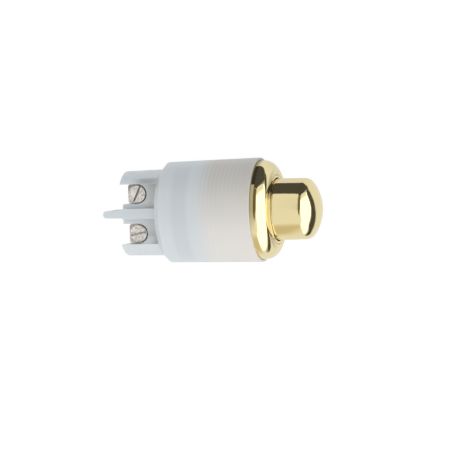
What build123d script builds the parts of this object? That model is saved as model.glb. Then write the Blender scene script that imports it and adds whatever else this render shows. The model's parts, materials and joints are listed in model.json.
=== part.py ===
from build123d import *
from math import sqrt
import os

os.makedirs("parts", exist_ok=True)

# Frame: millimetres, switch axis along Y, button towards -Y, terminal screws facing +Z.
# The origin is the centre of the housing rim that bears on the panel.

# Housing, outside
rim_r = 12.5
rim_edge_round = 0.2
body_rear_r = 12.05
body_length = 24.0
shoulder_step = 1.7
shoulder_slope = 1.5
shoulder_round = 2.0
rear_draft = 0.2
housing_length = 33.25
rear_edge_round = 0.5

# Moulding cores in the rear face
core_wall = 1.5
core_web = 2.4
core_roof_depth = 4.6
core_depth = 6.8

# Housing, inside
seat_clearance = 0.05
seat_depth = 0.4
thread_bore_r = 11.0
thread_bore_end = 12.0
guide_bore_r = 10.2
guide_seat_y = 13.6
cavity_r = 9.4

# Terminal end of the housing
terminal_x = 4.76
terminal_inset = 3.6
notch_r = 2.42
channel_front_y = 23.9
floor_z = 4.9
rib_width = 2.5
rib_height = 0.9
fin_root_width = 2.05
fin_tip_width = 1.7
fin_length = 4.75
fin_bottom_z = -3.0
fin_tip_round = 0.7
fin_root_depth = 1.25
mouth_depth = 1.25
mouth_floor_z = -1.4

# Contact strips
strip_thickness = 1.0
strip_face_thickness = 0.8
strip_top_z = 1.0
strip_width = 4.4
strip_inset = 0.75
strip_face_bottom_z = -2.0
strip_bend_round = 0.6
strip_corner_round = 0.5
strip_slot_clearance = 0.1

# Contact tips
tip_r = 0.9
tip_height = 0.7
tip_edge_round = 0.2
contact_gap = 2.2

# Terminal screws, metric 2.5
screw_shank_r = 1.25
screw_length = 4.6
screw_fit = 0.02
screw_head_r = 2.1
screw_head_height = 1.5
screw_head_top_z = 4.8
screw_head_round = 0.25
screw_point_chamfer = 0.3
slot_width = 0.5
slot_depth = 0.7
left_slot_angle = 100.6
right_slot_angle = 154.4
screw_well_r = 1.6
screw_well_bottom_z = -3.4

# Clamp plates
plate_thickness = 0.9
plate_clearance = 0.14
plate_rear_reach = 2.6
plate_corner_round = 0.6
plate_hole_fit = 0.1

# Collar
collar_base_r = 11.85
collar_bore_r = 9.6
collar_front_wall = 2.1
collar_hole_r = 7.6
skirt_r = 10.9
skirt_end_y = 11.6
skirt_end_chamfer = 0.4
bead_round = 3.1
bead_centre_r = collar_base_r - bead_round
bead_centre_y = -0.78
bead_end_r = 8.45
lip_root_r = 8.3
lip_root_y = -3.55
lip_front_r = 8.1
lip_front_y = -4.0
lip_hole_round = 0.1

# Button cap
cap_r = 7.43
cap_draft = 0.1
cap_wall = 0.7
cap_rear_y = 1.6
cap_corner_y = -11.83
cap_edge_round = 2.4
dome_height = 2.85
cap_rear_chamfer = 0.2

# Plunger
press_gap = 0.03
plunger_tube_wall = 1.0
plunger_tube_front_y = -9.4
plunger_disc_front_y = 0.4
plunger_flange_r = 7.2
plunger_flange_rear_y = 2.6
stem_r = 2.6
stem_shoulder_y = 14.9
spigot_r = 1.5
spigot_end_y = 18.3
stem_chamfer = 0.3
clip_groove_r = 2.0

# Stem guide
guide_fit = 0.03
guide_flange_thickness = 1.2
guide_boss_r = 4.2
guide_boss_front_y = 8.6
guide_hole_fit = 0.08
guide_edge_chamfer = 0.3

# Stem clip
clip_gap = 0.05
clip_thickness = 0.6
clip_r = 4.0
clip_mouth = 3.0
clip_ring_fit = 0.02

# Contact bridge and its washer
bridge_front_y = 16.9
bridge_thickness = 0.6
bridge_half_length = 6.2
bridge_half_width = 2.2
bridge_corner_round = 0.8
bridge_hole_fit = 0.08
bridge_washer_r = 2.2
bridge_washer_thickness = 0.5

# Rails beside the bridge
rail_gap = 0.25
rail_thickness = 1.0
rail_inner_x = 5.0
rail_front_y = 15.4

# Springs
return_wire_r = 0.35
return_mean_r = 5.2
return_coils = 6
contact_wire_r = 0.13
contact_mean_r = 2.05
contact_coils = 2.5
spring_end_gap = 0.05

# Dependent values
seat_r = collar_base_r + seat_clearance
rear_front_r = body_rear_r - shoulder_step
rear_end_r = rear_front_r - rear_draft
shoulder_start_y = body_length - shoulder_slope
core_r = rear_end_r - core_wall
terminal_y = housing_length - terminal_inset
strip_rear_y = housing_length - strip_inset
mouth_front_y = housing_length - mouth_depth
fin_root_y = housing_length - fin_root_depth
fin_tip_y = housing_length + fin_length
channel_half = terminal_x + notch_r
rib_top_z = floor_z + rib_height
bridge_rear_y = bridge_front_y + bridge_thickness
moving_tip_rear_y = bridge_rear_y + tip_height
fixed_tip_front_y = moving_tip_rear_y + contact_gap
strip_face_front_y = fixed_tip_front_y + tip_height
base_front_y = strip_face_front_y + strip_face_thickness
strip_bottom_z = strip_top_z - strip_thickness
plate_half = notch_r - plate_clearance
plate_top_z = screw_head_top_z - screw_head_height
plate_bottom_z = plate_top_z - plate_thickness
screw_point_z = plate_top_z - screw_length
guide_front_y = guide_seat_y - guide_flange_thickness
clip_front_y = guide_seat_y + clip_gap
clip_rear_y = clip_front_y + clip_thickness
cap_front_r = cap_r - cap_draft
cap_inner_r = cap_front_r - cap_wall
plunger_r = cap_inner_r - press_gap
dome_r = (cap_front_r**2 + dome_height**2) / (2 * dome_height)
cap_front_y = cap_corner_y - dome_height
dome_centre_y = cap_front_y + dome_r
cap_inner_front_y = cap_front_y + cap_wall
inner_corner_y = dome_centre_y - sqrt((dome_r - cap_wall) ** 2 - cap_inner_r**2)
bore_front_y = lip_front_y + collar_front_wall
bead_middle = bead_round / sqrt(2)
bead_end_y = bead_centre_y - sqrt(bead_round**2 - (bead_centre_r - bead_end_r) ** 2)
slot_length = strip_rear_y + strip_slot_clearance - base_front_y
rail_z = bridge_half_width + rail_gap + rail_thickness / 2
rail_length = cavity_r - rail_inner_x
rail_x = rail_inner_x + rail_length / 2
return_start_y = plunger_flange_rear_y + return_wire_r + spring_end_gap
return_length = guide_front_y - return_wire_r - spring_end_gap - return_start_y
contact_start_y = stem_shoulder_y + contact_wire_r + spring_end_gap
contact_length = bridge_front_y - contact_wire_r - spring_end_gap - contact_start_y

# Plane across the switch axis, facing the terminals
cross_plane = Plane(origin=(0, 0, 0), x_dir=(1, 0, 0), z_dir=(0, 1, 0))


# Housing: turned outside with a stepped rear section
with BuildPart() as housing:
    with BuildSketch(Plane.XY) as outside:
        with BuildLine():
            Polyline(
                (0, 0),
                (rim_r, 0),
                (body_rear_r, shoulder_start_y),
                (rear_front_r, body_length),
                (rear_end_r, housing_length),
                (0, housing_length),
                close=True,
            )
        make_face()
        corners = outside.vertices()
        fillet(corners.sort_by_distance((rim_r, 0))[0], radius=rim_edge_round)
        fillet(corners.sort_by_distance((body_rear_r, shoulder_start_y))[0], radius=shoulder_round)
        fillet(corners.sort_by_distance((rear_end_r, housing_length))[0], radius=rear_edge_round)
    revolve(axis=Axis.Y)
    # Front bore: collar seat, thread bore, guide ledge and contact chamber
    with BuildSketch(Plane.XY):
        with BuildLine():
            Polyline(
                (0, 0),
                (seat_r, 0),
                (seat_r, seat_depth),
                (thread_bore_r, seat_depth),
                (thread_bore_r, thread_bore_end),
                (guide_bore_r, thread_bore_end),
                (guide_bore_r, guide_seat_y),
                (cavity_r, guide_seat_y),
                (cavity_r, base_front_y),
                (0, base_front_y),
                close=True,
            )
        make_face()
    revolve(axis=Axis.Y, mode=Mode.SUBTRACT)
    # Rails that keep the contact bridge from turning
    with BuildSketch(cross_plane.offset(rail_front_y)):
        with Locations((rail_x, rail_z), (rail_x, -rail_z), (-rail_x, rail_z), (-rail_x, -rail_z)):
            Rectangle(rail_length, rail_thickness)
        Circle(cavity_r, mode=Mode.INTERSECT)
    extrude(amount=base_front_y - rail_front_y)
    # Open channel over the terminals, with the rib left standing
    with BuildSketch(Plane.XY.offset(floor_z)):
        with Locations((0, channel_front_y)):
            Rectangle(2 * channel_half, fin_tip_y - channel_front_y, align=(Align.CENTER, Align.MIN))
    extrude(amount=rim_r, mode=Mode.SUBTRACT)
    with BuildSketch(Plane.XY.offset(floor_z)):
        with Locations((0, channel_front_y)):
            Rectangle(rib_width, housing_length - channel_front_y, align=(Align.CENTER, Align.MIN))
    extrude(amount=rib_height)
    # Terminal notches, open to the rear, down to the strips
    with BuildSketch(Plane.XY.offset(strip_top_z)):
        with Locations((terminal_x, terminal_y), (-terminal_x, terminal_y)):
            Circle(notch_r)
        with Locations((terminal_x, terminal_y), (-terminal_x, terminal_y)):
            Rectangle(2 * notch_r, fin_tip_y - terminal_y, align=(Align.CENTER, Align.MIN))
    extrude(amount=floor_z, mode=Mode.SUBTRACT)
    # Slots that take the contact strips through the base
    with BuildSketch(Plane.XY.offset(strip_bottom_z)):
        with Locations((terminal_x, base_front_y), (-terminal_x, base_front_y)):
            Rectangle(strip_width + 2 * strip_slot_clearance, slot_length, align=(Align.CENTER, Align.MIN))
    extrude(amount=strip_thickness, mode=Mode.SUBTRACT)
    # Mouths below the strip ends, where the wires enter
    with BuildSketch(Plane.XY.offset(mouth_floor_z)):
        with Locations((terminal_x, mouth_front_y), (-terminal_x, mouth_front_y)):
            Rectangle(2 * notch_r, fin_tip_y - mouth_front_y, align=(Align.CENTER, Align.MIN))
    extrude(amount=strip_top_z - mouth_floor_z, mode=Mode.SUBTRACT)
    # Wells for the screw points
    with BuildSketch(Plane.XY.offset(screw_well_bottom_z)):
        with Locations((terminal_x, terminal_y), (-terminal_x, terminal_y)):
            Circle(screw_well_r)
    extrude(amount=strip_top_z - screw_well_bottom_z, mode=Mode.SUBTRACT)
    # Cores that keep the solid half of the moulding thin
    with BuildSketch(cross_plane.offset(housing_length - core_depth)):
        Circle(core_r)
        with Locations((0, core_roof_depth)):
            Rectangle(2 * core_r, core_r, align=(Align.CENTER, Align.MIN), mode=Mode.INTERSECT)
        Rectangle(core_web, 2 * core_r, mode=Mode.SUBTRACT)
    extrude(amount=core_depth, mode=Mode.SUBTRACT)
    # Fin between the two wires
    with BuildSketch(Plane.XY.offset(fin_bottom_z)) as fin_plan:
        with BuildLine():
            Polyline(
                (-fin_root_width / 2, fin_root_y),
                (-fin_tip_width / 2, fin_tip_y),
                (fin_tip_width / 2, fin_tip_y),
                (fin_root_width / 2, fin_root_y),
                close=True,
            )
        make_face()
        fillet(fin_plan.vertices().group_by(Axis.Y)[-1], radius=fin_tip_round)
    extrude(amount=rib_top_z - fin_bottom_z)
housing.part.label = "housing"
export_step(housing.part, "parts/housing.step")

# Stem guide: flanged bushing on the housing ledge
with BuildPart() as stem_guide:
    with BuildSketch(Plane.XY):
        with BuildLine():
            Polyline(
                (stem_r + guide_hole_fit, guide_boss_front_y),
                (guide_boss_r, guide_boss_front_y),
                (guide_boss_r, guide_front_y),
                (guide_bore_r - guide_fit, guide_front_y),
                (guide_bore_r - guide_fit, guide_seat_y),
                (stem_r + guide_hole_fit, guide_seat_y),
                close=True,
            )
        make_face()
    revolve(axis=Axis.Y)
    rings = stem_guide.edges().filter_by(GeomType.CIRCLE)
    chamfer(rings.group_by(Axis.Y)[0].sort_by(SortBy.RADIUS)[-1], length=guide_edge_chamfer)
stem_guide.part.label = "stem_guide"
export_step(stem_guide.part, "parts/stem_guide.step")

# Collar: turned ring with a rounded outside, a lip at the hole and a skirt for the thread
with BuildPart() as collar:
    with BuildSketch(Plane.XY):
        with BuildLine():
            Polyline(
                (collar_bore_r, bore_front_y),
                (collar_bore_r, skirt_end_y),
                (skirt_r, skirt_end_y),
                (skirt_r, seat_depth),
                (collar_base_r, seat_depth),
                (collar_base_r, bead_centre_y),
            )
            ThreePointArc(
                (collar_base_r, bead_centre_y),
                (bead_centre_r + bead_middle, bead_centre_y - bead_middle),
                (bead_end_r, bead_end_y),
            )
            Polyline(
                (bead_end_r, bead_end_y),
                (lip_root_r, lip_root_y),
                (lip_front_r, lip_front_y),
                (collar_hole_r, lip_front_y),
                (collar_hole_r, bore_front_y),
                (collar_bore_r, bore_front_y),
            )
        make_face()
    revolve(axis=Axis.Y)
    rings = collar.edges().filter_by(GeomType.CIRCLE)
    chamfer(rings.group_by(Axis.Y)[-1].sort_by(SortBy.RADIUS)[-1], length=skirt_end_chamfer)
    rings = collar.edges().filter_by(GeomType.CIRCLE)
    fillet(rings.group_by(Axis.Y)[0], radius=lip_hole_round)
collar.part.label = "collar"
export_step(collar.part, "parts/collar.step")

# Button cap: drawn brass shell with a domed end
with BuildPart() as button_cap:
    with BuildSketch(Plane.XY) as cap_profile:
        with BuildLine():
            Line((cap_r, cap_rear_y), (cap_front_r, cap_corner_y))
            ThreePointArc(
                (cap_front_r, cap_corner_y),
                (cap_front_r / 2, dome_centre_y - sqrt(dome_r**2 - (cap_front_r / 2) ** 2)),
                (0, cap_front_y),
            )
            Line((0, cap_front_y), (0, cap_inner_front_y))
            ThreePointArc(
                (0, cap_inner_front_y),
                (cap_inner_r / 2, dome_centre_y - sqrt((dome_r - cap_wall) ** 2 - (cap_inner_r / 2) ** 2)),
                (cap_inner_r, inner_corner_y),
            )
            Line((cap_inner_r, inner_corner_y), (cap_inner_r, cap_rear_y))
            Line((cap_inner_r, cap_rear_y), (cap_r, cap_rear_y))
        make_face()
        corners = cap_profile.vertices()
        fillet(corners.sort_by_distance((cap_front_r, cap_corner_y))[0], radius=cap_edge_round)
        fillet(corners.sort_by_distance((cap_inner_r, inner_corner_y))[0], radius=cap_edge_round - cap_wall)
    revolve(axis=Axis.Y)
    rings = button_cap.edges().filter_by(GeomType.CIRCLE)
    chamfer(rings.group_by(Axis.Y)[-1].sort_by(SortBy.RADIUS)[-1], length=cap_rear_chamfer)
button_cap.part.label = "button_cap"
export_step(button_cap.part, "parts/button_cap.step")

# Plunger: tube inside the cap, flange, stem and the spigot for the bridge
with BuildPart() as plunger:
    with BuildSketch(Plane.XY):
        with BuildLine():
            Polyline(
                (plunger_r - plunger_tube_wall, plunger_tube_front_y),
                (plunger_r, plunger_tube_front_y),
                (plunger_r, cap_rear_y),
                (plunger_flange_r, cap_rear_y),
                (plunger_flange_r, plunger_flange_rear_y),
                (stem_r, plunger_flange_rear_y),
                (stem_r, clip_front_y),
                (clip_groove_r, clip_front_y),
                (clip_groove_r, clip_rear_y),
                (stem_r, clip_rear_y),
                (stem_r, stem_shoulder_y),
                (spigot_r, stem_shoulder_y),
                (spigot_r, spigot_end_y),
                (0, spigot_end_y),
                (0, plunger_disc_front_y),
                (plunger_r - plunger_tube_wall, plunger_disc_front_y),
                close=True,
            )
        make_face()
    revolve(axis=Axis.Y)
    rings = plunger.edges().filter_by(GeomType.CIRCLE)
    chamfer(rings.sort_by(Axis.Y)[-1], length=stem_chamfer)
plunger.part.label = "plunger"
export_step(plunger.part, "parts/plunger.step")

# Stem clip: open ring in the plunger groove
with BuildPart() as stem_clip:
    with BuildSketch(cross_plane.offset(clip_front_y)):
        Circle(clip_r)
        Circle(clip_groove_r + clip_ring_fit, mode=Mode.SUBTRACT)
        Rectangle(2 * clip_r, clip_mouth, align=(Align.MIN, Align.CENTER), mode=Mode.SUBTRACT)
    extrude(amount=clip_thickness)
stem_clip.part.label = "stem_clip"
export_step(stem_clip.part, "parts/stem_clip.step")

# Contact bridge: rounded strip on the spigot
with BuildPart() as contact_bridge:
    with BuildSketch(cross_plane.offset(bridge_front_y)):
        RectangleRounded(2 * bridge_half_length, 2 * bridge_half_width, bridge_corner_round)
        Circle(spigot_r + bridge_hole_fit, mode=Mode.SUBTRACT)
    extrude(amount=bridge_thickness)
contact_bridge.part.label = "contact_bridge"
export_step(contact_bridge.part, "parts/contact_bridge.step")

# Push-on washer behind the bridge
with BuildPart() as bridge_washer:
    with BuildSketch(cross_plane.offset(bridge_rear_y)):
        Circle(bridge_washer_r)
        Circle(spigot_r + clip_ring_fit, mode=Mode.SUBTRACT)
    extrude(amount=bridge_washer_thickness)
bridge_washer.part.label = "bridge_washer"
export_step(bridge_washer.part, "parts/bridge_washer.step")

# Springs, both wound round the stem
with BuildPart() as return_spring:
    with BuildLine() as return_path:
        Helix(
            pitch=return_length / return_coils,
            height=return_length,
            radius=return_mean_r,
            center=(0, return_start_y, 0),
            direction=(0, 1, 0),
        )
    with BuildSketch(Plane(origin=return_path.line @ 0, z_dir=return_path.line % 0)):
        Circle(return_wire_r)
    sweep(path=return_path.line, is_frenet=True)
return_spring.part.label = "return_spring"
export_step(return_spring.part, "parts/return_spring.step")

with BuildPart() as contact_spring:
    with BuildLine() as contact_path:
        Helix(
            pitch=contact_length / contact_coils,
            height=contact_length,
            radius=contact_mean_r,
            center=(0, contact_start_y, 0),
            direction=(0, 1, 0),
        )
    with BuildSketch(Plane(origin=contact_path.line @ 0, z_dir=contact_path.line % 0)):
        Circle(contact_wire_r)
    sweep(path=contact_path.line, is_frenet=True)
contact_spring.part.label = "contact_spring"
export_step(contact_spring.part, "parts/contact_spring.step")

# Contact strips, clamp plates, screws and tips: one of each for the left and the right
for side, sign, slot_angle in (("left", -1, left_slot_angle), ("right", 1, right_slot_angle)):
    centre_x = sign * terminal_x

    with BuildPart() as contact_strip:
        with BuildSketch(Plane.YZ.offset(centre_x - strip_width / 2)):
            with BuildLine():
                Polyline(
                    (strip_face_front_y, strip_face_bottom_z),
                    (strip_face_front_y, strip_top_z),
                    (strip_rear_y, strip_top_z),
                    (strip_rear_y, strip_bottom_z),
                    (base_front_y, strip_bottom_z),
                    (base_front_y, strip_face_bottom_z),
                    close=True,
                )
            make_face()
        extrude(amount=strip_width)
        across = contact_strip.edges().filter_by(Axis.X)
        fillet(across.group_by(Axis.Z)[-1].sort_by(Axis.Y)[0], radius=strip_bend_round)
        upright = contact_strip.edges().filter_by(Axis.Z)
        fillet(upright.group_by(Axis.Y)[-1], radius=strip_corner_round)
        with Locations(Plane.XY.offset(strip_top_z)):
            with Locations((centre_x, terminal_y)):
                Hole(screw_shank_r + screw_fit, depth=strip_thickness)
    contact_strip.part.label = "contact_strip_" + side
    export_step(contact_strip.part, "parts/contact_strip_" + side + ".step")

    with BuildPart() as clamp_plate:
        with BuildSketch(Plane.XY.offset(plate_bottom_z)) as plate_plan:
            with Locations((centre_x, terminal_y)):
                Rectangle(2 * plate_half, plate_rear_reach, align=(Align.CENTER, Align.MIN))
            fillet(plate_plan.vertices().group_by(Axis.Y)[-1], radius=plate_corner_round)
            with Locations((centre_x, terminal_y)):
                Circle(plate_half)
                Circle(screw_shank_r + plate_hole_fit, mode=Mode.SUBTRACT)
        extrude(amount=plate_thickness)
    clamp_plate.part.label = "clamp_plate_" + side
    export_step(clamp_plate.part, "parts/clamp_plate_" + side + ".step")

    with BuildPart() as terminal_screw:
        with BuildSketch(Plane.XY.offset(plate_top_z)):
            with Locations((centre_x, terminal_y)):
                Circle(screw_head_r)
        extrude(amount=screw_head_height)
        fillet(terminal_screw.edges().group_by(Axis.Z)[-1], radius=screw_head_round)
        with BuildSketch(Plane.XY.offset(screw_point_z)):
            with Locations((centre_x, terminal_y)):
                Circle(screw_shank_r)
        extrude(amount=screw_length)
        chamfer(terminal_screw.edges().group_by(Axis.Z)[0], length=screw_point_chamfer)
        with BuildSketch(Plane.XY.offset(screw_head_top_z - slot_depth)):
            with Locations((centre_x, terminal_y)):
                Rectangle(2 * screw_head_r + slot_width, slot_width, rotation=slot_angle)
        extrude(amount=slot_depth, mode=Mode.SUBTRACT)
    terminal_screw.part.label = "terminal_screw_" + side
    export_step(terminal_screw.part, "parts/terminal_screw_" + side + ".step")

    with BuildPart() as fixed_tip:
        with BuildSketch(cross_plane.offset(fixed_tip_front_y)):
            with Locations((centre_x, 0)):
                Circle(tip_r)
        extrude(amount=tip_height)
        fillet(fixed_tip.edges().group_by(Axis.Y)[0], radius=tip_edge_round)
    fixed_tip.part.label = "fixed_tip_" + side
    export_step(fixed_tip.part, "parts/fixed_tip_" + side + ".step")

    with BuildPart() as moving_tip:
        with BuildSketch(cross_plane.offset(bridge_rear_y)):
            with Locations((centre_x, 0)):
                Circle(tip_r)
        extrude(amount=tip_height)
        fillet(moving_tip.edges().group_by(Axis.Y)[-1], radius=tip_edge_round)
    moving_tip.part.label = "moving_tip_" + side
    export_step(moving_tip.part, "parts/moving_tip_" + side + ".step")
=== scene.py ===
import bpy
import bmesh
import json
import math
from mathutils import Matrix, Vector
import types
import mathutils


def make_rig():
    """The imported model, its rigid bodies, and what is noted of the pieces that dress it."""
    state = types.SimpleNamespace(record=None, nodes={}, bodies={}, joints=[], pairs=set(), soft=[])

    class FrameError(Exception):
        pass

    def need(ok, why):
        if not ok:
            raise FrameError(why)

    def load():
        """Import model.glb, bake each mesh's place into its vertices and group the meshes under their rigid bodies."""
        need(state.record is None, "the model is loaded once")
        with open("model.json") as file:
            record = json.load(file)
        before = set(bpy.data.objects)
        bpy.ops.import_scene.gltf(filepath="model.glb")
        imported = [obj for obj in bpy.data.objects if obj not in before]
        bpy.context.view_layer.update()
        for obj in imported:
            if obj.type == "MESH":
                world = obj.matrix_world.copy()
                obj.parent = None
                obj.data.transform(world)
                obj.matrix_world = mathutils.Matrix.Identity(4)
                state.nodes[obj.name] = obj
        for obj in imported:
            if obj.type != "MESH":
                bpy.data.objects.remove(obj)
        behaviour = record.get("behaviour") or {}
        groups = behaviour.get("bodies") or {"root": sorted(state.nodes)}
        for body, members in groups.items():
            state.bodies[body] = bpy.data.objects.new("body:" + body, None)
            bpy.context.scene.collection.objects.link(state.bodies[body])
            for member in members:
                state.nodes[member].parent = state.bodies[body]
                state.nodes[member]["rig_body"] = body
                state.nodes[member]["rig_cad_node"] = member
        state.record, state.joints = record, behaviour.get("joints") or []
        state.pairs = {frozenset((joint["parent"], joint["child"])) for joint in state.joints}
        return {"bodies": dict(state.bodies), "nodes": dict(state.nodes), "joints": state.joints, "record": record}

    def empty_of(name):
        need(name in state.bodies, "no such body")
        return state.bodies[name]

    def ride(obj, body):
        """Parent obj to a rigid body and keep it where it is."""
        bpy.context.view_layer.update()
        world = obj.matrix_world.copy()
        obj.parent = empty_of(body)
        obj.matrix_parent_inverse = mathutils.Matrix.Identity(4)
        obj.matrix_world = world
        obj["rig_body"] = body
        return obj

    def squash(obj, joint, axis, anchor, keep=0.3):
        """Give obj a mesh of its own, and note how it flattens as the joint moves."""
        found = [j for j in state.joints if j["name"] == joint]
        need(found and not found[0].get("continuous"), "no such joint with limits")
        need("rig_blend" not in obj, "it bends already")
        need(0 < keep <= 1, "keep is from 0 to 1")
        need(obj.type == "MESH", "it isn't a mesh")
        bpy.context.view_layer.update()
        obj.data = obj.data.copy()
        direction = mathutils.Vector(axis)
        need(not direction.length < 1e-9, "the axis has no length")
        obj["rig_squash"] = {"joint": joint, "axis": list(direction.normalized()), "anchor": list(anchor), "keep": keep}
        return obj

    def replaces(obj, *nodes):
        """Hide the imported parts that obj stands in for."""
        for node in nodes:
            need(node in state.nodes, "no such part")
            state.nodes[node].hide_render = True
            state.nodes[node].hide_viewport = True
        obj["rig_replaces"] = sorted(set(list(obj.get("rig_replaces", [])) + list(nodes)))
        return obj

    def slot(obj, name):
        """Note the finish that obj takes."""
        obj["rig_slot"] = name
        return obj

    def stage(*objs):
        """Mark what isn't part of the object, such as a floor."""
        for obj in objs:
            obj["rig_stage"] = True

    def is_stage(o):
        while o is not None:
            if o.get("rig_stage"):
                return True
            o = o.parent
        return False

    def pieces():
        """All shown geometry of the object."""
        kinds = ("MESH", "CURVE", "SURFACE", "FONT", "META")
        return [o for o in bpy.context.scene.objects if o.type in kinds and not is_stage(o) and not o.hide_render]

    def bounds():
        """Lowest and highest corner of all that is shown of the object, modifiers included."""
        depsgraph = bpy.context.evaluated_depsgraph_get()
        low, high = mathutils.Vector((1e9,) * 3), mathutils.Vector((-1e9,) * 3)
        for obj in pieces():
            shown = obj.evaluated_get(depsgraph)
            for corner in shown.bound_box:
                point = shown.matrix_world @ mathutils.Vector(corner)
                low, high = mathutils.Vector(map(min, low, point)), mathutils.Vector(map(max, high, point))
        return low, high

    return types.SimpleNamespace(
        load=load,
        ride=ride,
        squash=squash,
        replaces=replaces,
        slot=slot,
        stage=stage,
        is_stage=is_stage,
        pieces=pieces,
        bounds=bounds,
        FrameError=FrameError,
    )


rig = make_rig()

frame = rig.load()
cad_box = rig.bounds()
nodes = frame["nodes"]
MM = 0.001


# HOUSING
# One moulding in milky plastic that lets light through: the brass skirt inside its front
# half warms it, the thread there shows as faint rings, and painted shade dims a band over
# the contact chamber.
class Flow:
    """A number on its way through the nodes of a finish."""

    def __init__(self, finish, socket):
        self.finish = finish
        self.socket = socket

    def joined(self, operation, first, second):
        node = self.finish.node("ShaderNodeMath", {"operation": operation}, {0: first, 1: second})
        return Flow(self.finish, node.outputs[0])

    def __add__(self, other):
        return self.joined("ADD", self, other)

    def __radd__(self, other):
        return self.joined("ADD", other, self)

    def __sub__(self, other):
        return self.joined("SUBTRACT", self, other)

    def __rsub__(self, other):
        return self.joined("SUBTRACT", other, self)

    def __mul__(self, other):
        return self.joined("MULTIPLY", self, other)

    def __rmul__(self, other):
        return self.joined("MULTIPLY", other, self)

    def __pow__(self, other):
        return self.joined("POWER", self, other)

    def __abs__(self):
        return self.joined("ABSOLUTE", self, 0)


class Finish:
    """A material with one surface shader, and the nodes that vary it."""

    def __init__(self, name, constants):
        self.material = bpy.data.materials.new(name)
        self.material.use_nodes = True
        self.tree = self.material.node_tree
        self.shader = self.tree.nodes["Principled BSDF"]
        for socket, value in constants.items():
            self.shader.inputs[socket].default_value = value
        self.spot = self.node("ShaderNodeTexCoord").outputs["Object"]
        split = self.node("ShaderNodeSeparateXYZ", {}, {0: self.spot})
        self.x, self.y, self.z = (Flow(self, socket) for socket in split.outputs)

    def node(self, kind, settings=None, values=None):
        made = self.tree.nodes.new(kind)
        for name, setting in (settings or {}).items():
            setattr(made, name, setting)
        for socket, value in (values or {}).items():
            self.feed(made.inputs[socket], value)
        return made

    def feed(self, socket, value):
        if isinstance(value, Flow):
            self.tree.links.new(value.socket, socket)
        elif isinstance(value, bpy.types.NodeSocket):
            self.tree.links.new(value, socket)
        else:
            socket.default_value = value

    def step(self, value, low, high):
        """Climbs smoothly from 0 at the low value to 1 at the high one."""
        values = {"Value": value, "From Min": low, "From Max": high}
        node = self.node("ShaderNodeMapRange", {"interpolation_type": "SMOOTHSTEP"}, values)
        return Flow(self, node.outputs["Result"])

    def band(self, value, low, high, soft):
        """1 between two values and 0 outside them, with soft edges."""
        return self.step(value, low - soft, low + soft) - self.step(value, high - soft, high + soft)

    def noise(self, scale, detail, stretch=(1, 1, 1)):
        place = self.node("ShaderNodeMapping", {}, {"Vector": self.spot, "Scale": stretch})
        values = {"Vector": place.outputs[0], "Scale": scale, "Detail": detail}
        return Flow(self, self.node("ShaderNodeTexNoise", {}, values).outputs[0])

    def distance(self, across, along):
        """How far from an axis a point is, from its two offsets square to the axis."""
        return (across * across + along * along) ** 0.5

    def rings(self, scale, detail):
        """Noise that runs round the switch axis, as turning and polishing leave it."""
        radius = self.distance(self.x, self.z)
        place = self.node("ShaderNodeCombineXYZ", {}, {0: radius, 1: self.y})
        values = {"Vector": place.outputs[0], "Scale": scale, "Detail": detail}
        return Flow(self, self.node("ShaderNodeTexNoise", {}, values).outputs[0])

    def figure(self, operation, value):
        """A maths function of one number, such as its sine or its sign."""
        node = self.node("ShaderNodeMath", {"operation": operation}, {0: value})
        return Flow(self, node.outputs[0])

    def blend(self, share, first, second):
        node = self.node("ShaderNodeMix", {"data_type": "RGBA"}, {0: share, 6: first, 7: second})
        return node.outputs[2]

    def show(self, socket, value):
        self.feed(self.shader.inputs[socket], value)

    def bump(self, height, depth):
        values = {"Height": height, "Distance": depth}
        self.show("Normal", self.node("ShaderNodeBump", {}, values).outputs[0])


def coat(finish, *pieces):
    for piece in pieces:
        mesh = nodes[piece].data if isinstance(piece, str) else piece.data
        mesh.materials.clear()
        mesh.materials.append(finish.material)


thread_pitch = 1.0 * MM
chamber_front, chamber_rear = 15.6 * MM, 19.3 * MM
floor_low, floor_high = 3.6 * MM, 5.25 * MM
channel_wall = 7.2 * MM
channel_front = 24.2 * MM
cool_plastic = (0.665, 0.715, 0.74, 1)
warm_plastic = (0.78, 0.75, 0.71, 1)
warm_shade = (0.60, 0.575, 0.545, 1)
cloudy_and_shaded_plastic = (0.56, 0.605, 0.63, 1)
floor_shade_plastic = (0.56, 0.545, 0.53, 1)
shaded_plastic = (0.41, 0.425, 0.43, 1)
lit_plastic = (0.93, 0.95, 0.96, 1)
milky_light = {"Subsurface Weight": 0.4, "Subsurface Radius": (1, 1, 1), "Subsurface Scale": 2.5 * MM}
milky = Finish("milky_plastic", {"IOR": 1.48, **milky_light})
over_skirt = 1 - milky.step(milky.y, 8.5 * MM, 15 * MM)
over_thread = milky.band(milky.y, 3 * MM, 12 * MM, 2 * MM)
thread_rings = milky.figure("SINE", milky.y * (math.tau / thread_pitch)) * over_thread
# Painted shade: a band over the hollow contact chamber, on the upper side, is darker.
past_chamber = milky.band(milky.y, chamber_front, chamber_rear, 0.7 * MM)
over_chamber = past_chamber * milky.step(milky.z, 2 * MM, 9 * MM)
cloud = milky.noise(220, 3) * 0.12
# Painted shade: over the brass skirt the warm tint is painted darker towards the right, away from the key lamp.
to_right = milky.step(milky.x, -6 * MM, 12 * MM)
skirt_warmth_and_shade = milky.blend(to_right, warm_plastic, warm_shade)
tint = milky.blend(over_skirt + thread_rings * 0.3, cool_plastic, skirt_warmth_and_shade)
wall = milky.blend(over_chamber * 0.45 + cloud, tint, cloudy_and_shaded_plastic)
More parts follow.
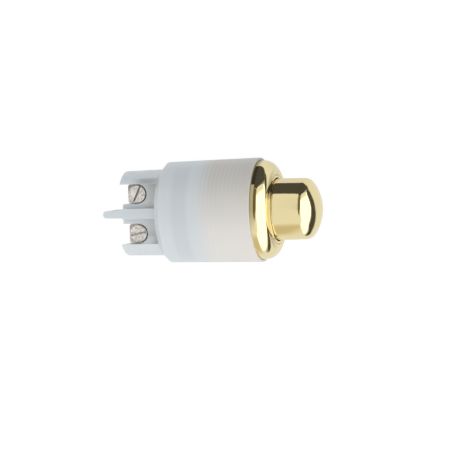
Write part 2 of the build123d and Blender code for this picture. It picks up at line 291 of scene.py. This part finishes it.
# Painted shade and light in the open terminal channel: the floor and the right side are
# painted darker, where less light comes through, and the left edge of the floor is painted lighter.
at_floor = milky.band(milky.z, floor_low, floor_high, 0.3 * MM)
on_floor = at_floor * (1 - milky.step(milky.x, channel_wall, channel_wall + 1.2 * MM))
floor_shade_weight = milky.step(milky.x, -8 * MM, -5 * MM) * 0.6 + milky.step(milky.x, -1 * MM, 3 * MM) * 0.2
in_front = milky.band(milky.y, channel_front, channel_front + 3.6 * MM, 2.4 * MM)
floor_shade = on_floor * in_front * floor_shade_weight
terminal_floor = milky.blend(floor_shade, wall, floor_shade_plastic)
on_side = milky.step(milky.x, 5.5 * MM, 7.5 * MM) * (1 - milky.step(milky.x, 7.6 * MM, 9.8 * MM))
above_floor = milky.step(milky.z, 5.2 * MM, 6.2 * MM)
side_shade = on_side * above_floor * milky.band(milky.y, 23.6 * MM, 29 * MM, 2 * MM)
terminal_end = milky.blend(side_shade * 0.95, terminal_floor, shaded_plastic)
lit_corner = milky.band(milky.x, -7.9 * MM, -5.5 * MM, 0.5 * MM)
lit_edge = milky.band(milky.z, 4.4 * MM, 5.4 * MM, 0.3 * MM)
lit_share = lit_corner * lit_edge * milky.step(milky.y, 24.5 * MM, 27 * MM)
milky.show("Base Color", milky.blend(lit_share, terminal_end, lit_plastic))
milky.show("Roughness", 0.36 + milky.noise(700, 4) * 0.12)
parting_line = 1 - milky.step(abs(milky.z), 0.02 * MM, 0.09 * MM)
milky.bump(milky.noise(2600, 3) + parting_line * 0.6, 0.02 * MM)
coat(milky, "housing")


# COLLAR
# Turned from brass bar, then polished and lacquered. Its skirt screws into the housing, so
# the plain skirt of the solid gives way to a cut thread, which shows when it is backed off.
def arc(centre_r, centre_y, radius, start, end, steps):
    """Points of a profile along an arc, its angles in degrees from straight outward."""
    points = []
    for step in range(steps + 1):
        angle = math.radians(start + (end - start) * step / steps)
        points.append((centre_r + radius * math.cos(angle), centre_y + radius * math.sin(angle)))
    return points


def wire(builder, spots):
    """A row of points joined by edges, ready to be spun."""
    points = [builder.verts.new(spot) for spot in spots]
    return points + [builder.edges.new(pair) for pair in zip(points, points[1:])]


def turned(profile, steps):
    """A shape spun round the switch axis from (radius, y) points in millimetres."""
    builder = bmesh.new()
    line = wire(builder, [Vector((radius, y, 0)) * MM for radius, y in profile])
    whole = {"cent": (0, 0, 0), "axis": (0, 1, 0), "angle": math.tau, "use_merge": True}
    bmesh.ops.spin(builder, geom=line, steps=steps, **whole)
    return builder


def cut_thread(builder, centre, axis, radius, span, pitch, depth, steps):
    """Gives the plain cylinder between two heights a thread that runs out at both ends."""
    lean = Vector((0, 0, 1)).rotation_difference(Vector(axis))
    place = Matrix.Translation(centre) @ lean.to_matrix().to_4x4()
    back = place.inverted()
    off_radius, off_end = 0.02 * MM, 0.01 * MM
    plain = []
    for face in builder.faces:
        spots = [back @ vert.co for vert in face.verts]
        on_it = all(abs(math.hypot(spot.x, spot.y) - radius) < off_radius for spot in spots)
        if on_it and all(span[0] - off_end < spot.z < span[1] + off_end for spot in spots):
            plain.append(face)
    bmesh.ops.delete(builder, geom=plain, context="FACES")
    kept = set(builder.verts)
    # One turn: the crest, its flank down to the root, and the root.
    form = ((0.0, 0.0), (0.14, 0.0), (0.5, 1.0), (0.64, 1.0))
    spots = []
    for turn in range(math.floor(span[0] / pitch) - 1, math.ceil(span[1] / pitch) + 1):
        spots += [Vector((radius - depth * cut, 0, (turn + share) * pitch)) for share, cut in form]
    line = wire(builder, [place @ spot for spot in spots])
    climb = {"cent": centre, "axis": axis, "angle": math.tau, "dvec": Vector(axis) * pitch / steps}
    bmesh.ops.spin(builder, geom=line, steps=steps, **climb)
    for vert in builder.verts:
        if vert in kept:
            continue
        spot = back @ vert.co
        height = min(max(spot.z, span[0]), span[1])
        run_out = min(1, (height - span[0]) / pitch, (span[1] - height) / pitch)
        reach = math.hypot(spot.x, spot.y)
        share = (radius - (radius - reach) * run_out) / reach
        vert.co = place @ Vector((spot.x * share, spot.y * share, height))


merge_within = 0.002 * MM
crease_angle = math.radians(28)


def settle(builder, name, node, body, slot):
    """Makes the built shape a piece that stands in for a solid on its body."""
    bmesh.ops.remove_doubles(builder, verts=builder.verts, dist=merge_within)
    bmesh.ops.recalc_face_normals(builder, faces=builder.faces)
    mesh = bpy.data.meshes.new(name)
    builder.to_mesh(mesh)
    builder.free()
    for layer in [layer for layer in mesh.attributes if layer.name == "custom_normal"]:
        mesh.attributes.remove(layer)
    mesh.shade_smooth()
    mesh.set_sharp_from_angle(angle=crease_angle)
    piece = bpy.data.objects.new(name, mesh)
    bpy.context.scene.collection.objects.link(piece)
    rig.replaces(piece, node)
    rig.ride(piece, body)
    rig.slot(piece, slot)
    return piece


hole_r, bore_r, skirt_r, crown_r = 7.6, 9.6, 10.9, 11.85
lip_y, ledge_y, skirt_top, skirt_foot, foot_y = -4.0, -1.9, 0.4, 11.2, 11.6
crown_round, lip_round = 3.1, 0.1
crown_end = -95.6
round_steps = 144
thread_cut = 0.45 * MM
collar_line = [(bore_r, ledge_y), (bore_r, foot_y), (skirt_r - 0.4, foot_y), (skirt_r, skirt_foot)]
collar_line += [(skirt_r, skirt_top), (crown_r, skirt_top), (crown_r, -0.6)]
collar_line += arc(crown_r - crown_round, -0.78, crown_round, 0, crown_end, 30)
collar_line += [(8.3, -3.55), (8.1, lip_y)]
collar_line += arc(hole_r + lip_round, lip_y + lip_round, lip_round, -90, -180, 5)
collar_line += [(hole_r, ledge_y), (bore_r, ledge_y)]
shape = turned(collar_line, round_steps)
skirt_span = (skirt_top * MM, skirt_foot * MM)
cut_thread(shape, (0, 0, 0), (0, 1, 0), skirt_r * MM, skirt_span, thread_pitch, thread_cut, round_steps)
collar = settle(shape, "collar_with_thread", "collar", "collar", "polished_brass")
brass = Finish("polished_brass", {"Metallic": 1.0})
brass_light = (0.88, 0.765, 0.435, 1)
brass_deep = (0.855, 0.735, 0.415, 1)
brass_shaded = (0.47, 0.385, 0.2, 1)
# Painted shade: the brass is darker in the corner beside the cap on the upper side, and on
# the right near the housing rim.
reach = brass.distance(brass.x, brass.z)
in_corner = (1 - brass.step(reach, 9.4 * MM, 10.2 * MM)) * brass.step(brass.z, 1 * MM, 7 * MM)
polish = brass.blend(brass.noise(160, 3), brass_light, brass_deep)
near_rim = brass.step(brass.y, -1.4 * MM, -0.7 * MM) * brass.step(brass.x, -6 * MM, 1 * MM)
brass.show("Base Color", brass.blend(in_corner * 0.9 + near_rim, polish, brass_shaded))
brass.show("Roughness", 0.04 + brass.rings(2200, 3) * 0.03 + brass.noise(900, 4) * 0.02)
brass.bump(brass.rings(1500, 2) + brass.noise(500, 2) * 0.5, 0.0012 * MM)
coat(brass, collar)


# BUTTON CAP
# Drawn from brass sheet with a domed end, and polished like the collar. Drawing has left
# faint streaks along its wall.
sheet_thickness = 0.7
cap_end_y, cap_foot_y, cap_foot_r = -14.68, 1.6, 7.43
dome_y, dome_r, dome_end = -3.829, 10.851, -54.2
edge_round = 2.4
cap_line = [(0, cap_end_y)] + arc(0, dome_y, dome_r, -90, dome_end, 30)[1:]
cap_line += arc(4.94, -10.686, edge_round, dome_end, 0, 16)[1:]
cap_line += [(7.341, -10.4), (cap_foot_r, cap_foot_y - 0.2), (cap_foot_r - 0.2, cap_foot_y)]
cap_line += [(6.63, cap_foot_y)] + arc(4.93, -10.69, edge_round - sheet_thickness, 0, dome_end, 10)
cap_line += arc(0, dome_y, dome_r - sheet_thickness, dome_end, -90, 14)[1:]
cap = settle(turned(cap_line, round_steps), "drawn_cap", "button_cap", "button", "polished_brass")
drawn_brass = Finish("drawn_brass", {"Metallic": 1.0})
streaks = drawn_brass.noise(900, 3, (1, 0.03, 1))
sheet_colour = drawn_brass.blend(drawn_brass.noise(160, 3), brass_light, brass_deep)
streak_colour = (0.80, 0.67, 0.36, 1)
drawn_brass.show("Base Color", drawn_brass.blend(streaks * 0.3, sheet_colour, streak_colour))
drawn_brass.show("Roughness", 0.05 + streaks * 0.05 + drawn_brass.noise(900, 4) * 0.02)
drawn_brass.bump(streaks + drawn_brass.noise(500, 2) * 0.4, 0.0006 * MM)
coat(drawn_brass, cap)


# PLUNGER AND STEM GUIDE
# Natural white mouldings inside. The plunger is pressed into the cap and carries it, and the
# guide sits on a ledge in the housing and keeps the plunger's stem straight.
natural = Finish("natural_plastic", {"Roughness": 0.5})
natural_white = (0.82, 0.82, 0.78, 1)
natural_cream = (0.74, 0.74, 0.69, 1)
flow_marks = natural.noise(300, 3)
natural.show("Base Color", natural.blend(flow_marks, natural_white, natural_cream))
natural.bump(natural.rings(900, 2), 0.01 * MM)
coat(natural, "plunger", "stem_guide")


# TERMINAL SCREWS AND CLAMP PLATES
# Slotted screws and square plates of nickel-plated steel: each screw draws its plate down on
# a wire. Handling has rubbed the heads, and the slots, edges and plates have a painted brown shade.
screw_x, screw_y = 4.76 * MM, 29.65 * MM
shade_full, shade_gone = 4.1 * MM, 4.79 * MM
shank_r, shank_pitch, shank_cut, shank_steps = 1.25 * MM, 0.45 * MM, 0.24 * MM, 40
shank_span = (-1.0 * MM, 3.3 * MM)
nickel_light = (0.87, 0.835, 0.79, 1)
nickel_dull = (0.56, 0.525, 0.48, 1)
brown_shade = (0.22, 0.205, 0.18, 1)
nickel = Finish("nickel_plate", {"Metallic": 1.0})
# Painted shade: brown below the head tops, so in the slots, at the head edges and on the plates.
low_shade = 1 - nickel.step(nickel.z, shade_full, shade_gone)
mottle = nickel.step(nickel.noise(1900, 5), 0.4, 0.64)
rub = nickel.noise(900, 4, (1, 7, 1))
bright = nickel.blend(mottle, nickel_light, nickel_dull)
across = nickel.x - nickel.figure("SIGN", nickel.x) * screw_x
along = nickel.y - screw_y
off_head = nickel.step(nickel.distance(across, along), 1.92 * MM, 2.02 * MM)
# The painted shade is lighter at and beyond the left rim of each head, towards the lamp, and stronger on the right
# screw.
lit_head_side = off_head * (1 - nickel.step(across, -1.3 * MM, 0.5 * MM))
shade_share = low_shade * (0.4 + nickel.step(nickel.x, -1 * MM, 1 * MM) * 0.3) * (1 - lit_head_side * 0.75)
nickel.show("Base Color", nickel.blend(shade_share, bright, brown_shade))
nickel.show("Roughness", 0.24 + rub * 0.2 + low_shade * 0.1)
nickel.bump(rub + mottle * 0.5, 0.012 * MM)
coat(nickel, "clamp_plate_left", "clamp_plate_right")
for side, centre_x in (("left", -screw_x), ("right", screw_x)):
    shape = bmesh.new()
    shape.from_mesh(nodes["terminal_screw_" + side].data)
    shank_foot = (centre_x, screw_y, 0)
    cut_thread(shape, shank_foot, (0, 0, 1), shank_r, shank_span, shank_pitch, shank_cut, shank_steps)
    name = "terminal_screw_" + side + "_cut"
    coat(nickel, settle(shape, name, "terminal_screw_" + side, "screw_" + side, "nickel_steel"))


# CONTACT STRIPS AND BRIDGE
# Stamped from rolled brass, so the grain runs along them and the colour is plain and dull.
# The strips are held in slots of the housing, and the bridge slides on the plunger.
rolled = Finish("rolled_brass", {"Metallic": 1.0})
grain = rolled.noise(700, 4, (8, 1, 1))
rolled_light = (0.74, 0.585, 0.31, 1)
rolled_dull = (0.58, 0.44, 0.22, 1)
rolled.show("Base Color", rolled.blend(grain, rolled_light, rolled_dull))
rolled.show("Roughness", 0.26 + grain * 0.18)
rolled.bump(grain, 0.008 * MM)
coat(rolled, "contact_bridge", "contact_strip_left", "contact_strip_right")


# CONTACT TIPS
# Small silver discs on the strips and the bridge, where they meet when the button is in.
# They are rounded at the edge and a little tarnished.
silver = Finish("contact_silver", {"Metallic": 1.0})
tarnish = silver.noise(1100, 4)
silver_clean = (0.88, 0.87, 0.84, 1)
silver_tarnished = (0.66, 0.62, 0.55, 1)
silver.show("Base Color", silver.blend(tarnish, silver_clean, silver_tarnished))
silver.show("Roughness", 0.2 + tarnish * 0.2)
coat(silver, "moving_tip_left", "moving_tip_right", "fixed_tip_left", "fixed_tip_right")


# SPRINGS, CLIP AND WASHER
# Bright drawn spring wire, and the clip and washer that hold the stem and the bridge. Both
# springs shorten as the button goes in: one by its whole travel, one by its overtravel.
spring_steel = Finish("spring_steel", {"Metallic": 1.0})
drawn = spring_steel.noise(1500, 4)
steel_light = (0.64, 0.64, 0.65, 1)
steel_dull = (0.46, 0.46, 0.48, 1)
spring_steel.show("Base Color", spring_steel.blend(drawn, steel_light, steel_dull))
spring_steel.show("Roughness", 0.22 + drawn * 0.2)
coat(spring_steel, "stem_clip", "bridge_washer")
springs = (("return_spring", "button", min, 3.0), ("contact_spring", "bridge", max, 0.8))
for node, body, held_end, shortening in springs:
    shape = bmesh.new()
    shape.from_mesh(nodes[node].data)
    heights = [vert.co.y for vert in shape.verts]
    length = max(heights) - min(heights)
    spring = settle(shape, node + "_wire", node, body, "spring_steel")
    coat(spring_steel, spring)
    keep = 1 - shortening * MM / length
    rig.squash(spring, "button_press", axis=(0, 1, 0), anchor=(0, held_end(heights), 0), keep=keep)


# FLOOR
# Matt white paper under the switch, which lies on its side. It glows enough to look white,
# and keeps the soft shadow of the switch.
floor_z = -12.55 * MM
floor_reach = 3.0
floor_mesh = bpy.data.meshes.new("floor")
builder = bmesh.new()
bmesh.ops.create_grid(builder, x_segments=1, y_segments=1, size=floor_reach)
bmesh.ops.translate(builder, verts=builder.verts, vec=(0, 0, floor_z))
builder.to_mesh(floor_mesh)
builder.free()
floor = bpy.data.objects.new("floor", floor_mesh)
bpy.context.scene.collection.objects.link(floor)
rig.stage(floor)
paper = Finish("floor_paper", {"Roughness": 0.9, "Base Color": (0.8, 0.8, 0.8, 1)})
glow_level, camera_glow, gloss_glow = 1.06, 0.9, 0.5
glow = paper.node("ShaderNodeEmission", {}, {"Color": (1, 1, 1, 1), "Strength": glow_level})
ray = paper.node("ShaderNodeLightPath")
to_camera = Flow(paper, ray.outputs["Is Camera Ray"])
to_gloss = Flow(paper, ray.outputs["Is Glossy Ray"])
seen = to_camera * camera_glow + to_gloss * gloss_glow
mix = paper.node("ShaderNodeMixShader", {}, {0: seen, 1: paper.shader.outputs[0], 2: glow.outputs[0]})
paper.feed(paper.tree.nodes["Material Output"].inputs["Surface"], mix.outputs[0])
floor.data.materials.append(paper.material)


# CAMERA
# It looks down on the switch from slightly in front of it, at a long focal length, with the
# rim of the housing a little right of the middle of the frame.
frame_side = 450
mm_per_pixel = 12.5 / 52.3
rim_pixel = (262.3, 209.75)
front_lean = math.radians(15.5)
side_lean = math.radians(2.3)
axis_tilt = math.radians(1.5)
camera_distance = 1.2
toward_camera = Vector((math.sin(side_lean), -math.sin(front_lean), math.cos(front_lean))).normalized()
front = Vector((0, -1, 0))
right = (front - front.dot(toward_camera) * toward_camera).normalized()
right = Matrix.Rotation(-axis_tilt, 3, toward_camera) @ right
up = toward_camera.cross(right)
half = frame_side / 2
pixel = mm_per_pixel * MM
aim = -right * (rim_pixel[0] - half) * pixel - up * (half - rim_pixel[1]) * pixel
sensor_width = 36
camera_data = bpy.data.cameras.new("camera")
camera_data.sensor_width = sensor_width
camera_data.lens = sensor_width * camera_distance / (frame_side * pixel)
camera_data.clip_start = 0.01
camera = bpy.data.objects.new("camera", camera_data)
bpy.context.scene.collection.objects.link(camera)
turn = Matrix((right, up, toward_camera)).transposed()
camera.matrix_world = Matrix.Translation(aim + toward_camera * camera_distance) @ turn.to_4x4()
bpy.context.scene.camera = camera


# ROOM AND LAMPS
# A plain white room that looks white to the camera and to gloss, and lights the rest a
# little less. One lamp high on the left shapes the switch, and a weak one fills its right.
room_level = 0.715
room_extra = (("Is Camera Ray", 0.285), ("Is Glossy Ray", 0.215))
world = bpy.data.worlds.new("studio")
world.use_nodes = True
bpy.context.scene.world = world
tree = world.node_tree
sky = tree.nodes["Background"]
sky.inputs["Color"].default_value = (1, 1, 1, 1)
rays = tree.nodes.new("ShaderNodeLightPath")
level = None
for ray_kind, extra in room_extra:
    more = tree.nodes.new("ShaderNodeMath")
    more.operation = "MULTIPLY_ADD"
    tree.links.new(rays.outputs[ray_kind], more.inputs[0])
    more.inputs[1].default_value = extra
    more.inputs[2].default_value = room_level
    if level:
        tree.links.new(level, more.inputs[2])
    level = more.outputs[0]
tree.links.new(level, sky.inputs["Strength"])


lamp_size = 0.4
lamp_target = Vector((0, 0.01, 0))


def lamp(name, place, power):
    data = bpy.data.lights.new(name, "AREA")
    data.shape = "DISK"
    data.size = lamp_size
    data.energy = power
    made = bpy.data.objects.new(name, data)
    made.location = place
    made.rotation_euler = (Vector(place) - lamp_target).to_track_quat("Z", "Y").to_euler()
    made.visible_glossy = False
    bpy.context.scene.collection.objects.link(made)


lamp("key_lamp", (-0.5, -0.1, 0.45), 1.3)
lamp("side_fill", (0.5, 0.02, 0.08), 0.3)


# REFLECTION CARDS
# Dark, olive, tan and bright cards round the switch, which only gloss sees. They make the
# dark bands and the highlights in the polished brass.
room_white = (0.92, 0.92, 0.92)
dark = (0.075, 0.075, 0.075)
olive = (0.17, 0.15, 0.09)
tan = (0.70, 0.62, 0.46)
lamp_white = (1.9, 1.9, 1.9)
sharp = 0.01


def card(name, colour, rows, soft):
    """A card from rows of two corners in millimetres, fading to white at its soft edges."""
    builder = bmesh.new()
    builder.loops.layers.uv.new("UVMap")
    last = len(rows) - 1
    bmesh.ops.create_grid(builder, x_segments=1, y_segments=last, size=1, calc_uvs=True)
    for vert in builder.verts:
        row = round((vert.co.y + 1) / 2 * last)
        vert.co = Vector(rows[row][vert.co.x > 0]) * MM
    mesh = bpy.data.meshes.new(name)
    builder.to_mesh(mesh)
    builder.free()
    made = bpy.data.objects.new(name, mesh)
    made.visible_camera = False
    made.visible_diffuse = False
    made.visible_shadow = False
    bpy.context.scene.collection.objects.link(made)
    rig.stage(made)
    finish = Finish(name, {"Base Color": (0, 0, 0, 1), "Specular IOR Level": 0, "Emission Strength": 1})
    spread = finish.node("ShaderNodeTexCoord").outputs["UV"]
    split = finish.node("ShaderNodeSeparateXYZ", {}, {0: spread})
    share = 1
    for socket, (start, end) in zip(split.outputs, soft):
        edge = Flow(finish, socket)
        share = share * finish.step(edge, 0, start) * (1 - finish.step(edge, 1 - end, 1))
    finish.show("Emission Color", finish.blend(share, (*room_white, 1), (*colour, 1)))
    made.data.materials.append(finish.material)


side_rows = [
    ((60, -90, -12.4), (110, -90, 35)),
    ((42, -22, -12.4), (100, -22, 85)),
    ((34, 8, -12.4), (100, 8, 80)),
    ((34, 20, -12.4), (100, 20, 57.7)),
    ((34, 300, -12.4), (100, 300, 57.7)),
]
card("side_flag", dark, side_rows, ((sharp, 0.06), (0.15, 0.22)))
gap_rows = [
    ((-160, -24, 300), (-160, 36, 300)),
    ((-60, -38, 300), (-60, 54, 300)),
    ((30, -88, 300), (30, 64, 300)),
    ((130, -98, 300), (130, 68, 300)),
    ((300, -130, 300), (300, 88, 300)),
    ((560, -200, 300), (560, 130, 300)),
]
card("gap_flag", olive, gap_rows, ((0.22, 0.1), (0.2, sharp)))
panel_rows = [((250, -88, 302), (-700, -88, 302)), ((250, -400, -12), (-700, -400, -12))]
card("front_panel", lamp_white, panel_rows, ((0.1, 0.1), (0.05, sharp)))
left_rows = [((-450, -400, -12), (-450, -400, 400)), ((-450, 30, -12), (-450, 30, 400))]
card("left_panel", lamp_white, left_rows, ((sharp, 0.3), (sharp, 0.2)))
far_rows = [((250, -60, -12.35), (-450, -60, -12.35)), ((250, -400, -12.35), (-450, -400, -12.35))]
card("far_floor", lamp_white, far_rows, ((0.1, 0.1), (0.03, sharp)))
side_floor_rows = [((-56, -6, -12.34), (-450, -6, -12.34)), ((-56, -62, -12.34), (-450, -62, -12.34))]
card("side_floor", lamp_white, side_floor_rows, ((0.03, sharp), (0.12, sharp)))
low_rows = [((-28, -4, -12.3), (-75, -4, 62)), ((-28, 296, -12.3), (-75, 296, 62))]
card("low_side_card", tan, low_rows, ((0.2, 0.6), (0.02, sharp)))
front_rows = [
    ((38, -14, -12.3), (400, -280, -12.3)),
    ((40, -24, -12.3), (80, -112, -12.3)),
    ((24, -33, -12.3), (28, -74, -12.3)),
    ((11, -36, -12.3), (12, -72, -12.3)),
    ((0, -34, -12.3), (0, -68, -12.3)),
    ((-8, -28, -12.3), (-10, -66, -12.3)),
    ((-14, -22, -12.3), (-24, -56, -12.3)),
    ((-26, -15, -12.3), (-43, -36, -12.3)),
    ((-40, -6, -12.3), (-52, -10, -12.3)),
]
card("front_flag", dark, front_rows, ((0.15, 0.15), (0.02, 0.12)))

bpy.context.scene.view_settings.view_transform = "Standard"

shown_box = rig.bounds()
sizes = {"cad": [list(corner) for corner in cad_box], "visual": [list(corner) for corner in shown_box]}
with open("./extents.json", "w") as size_file:
    json.dump(sizes, size_file)
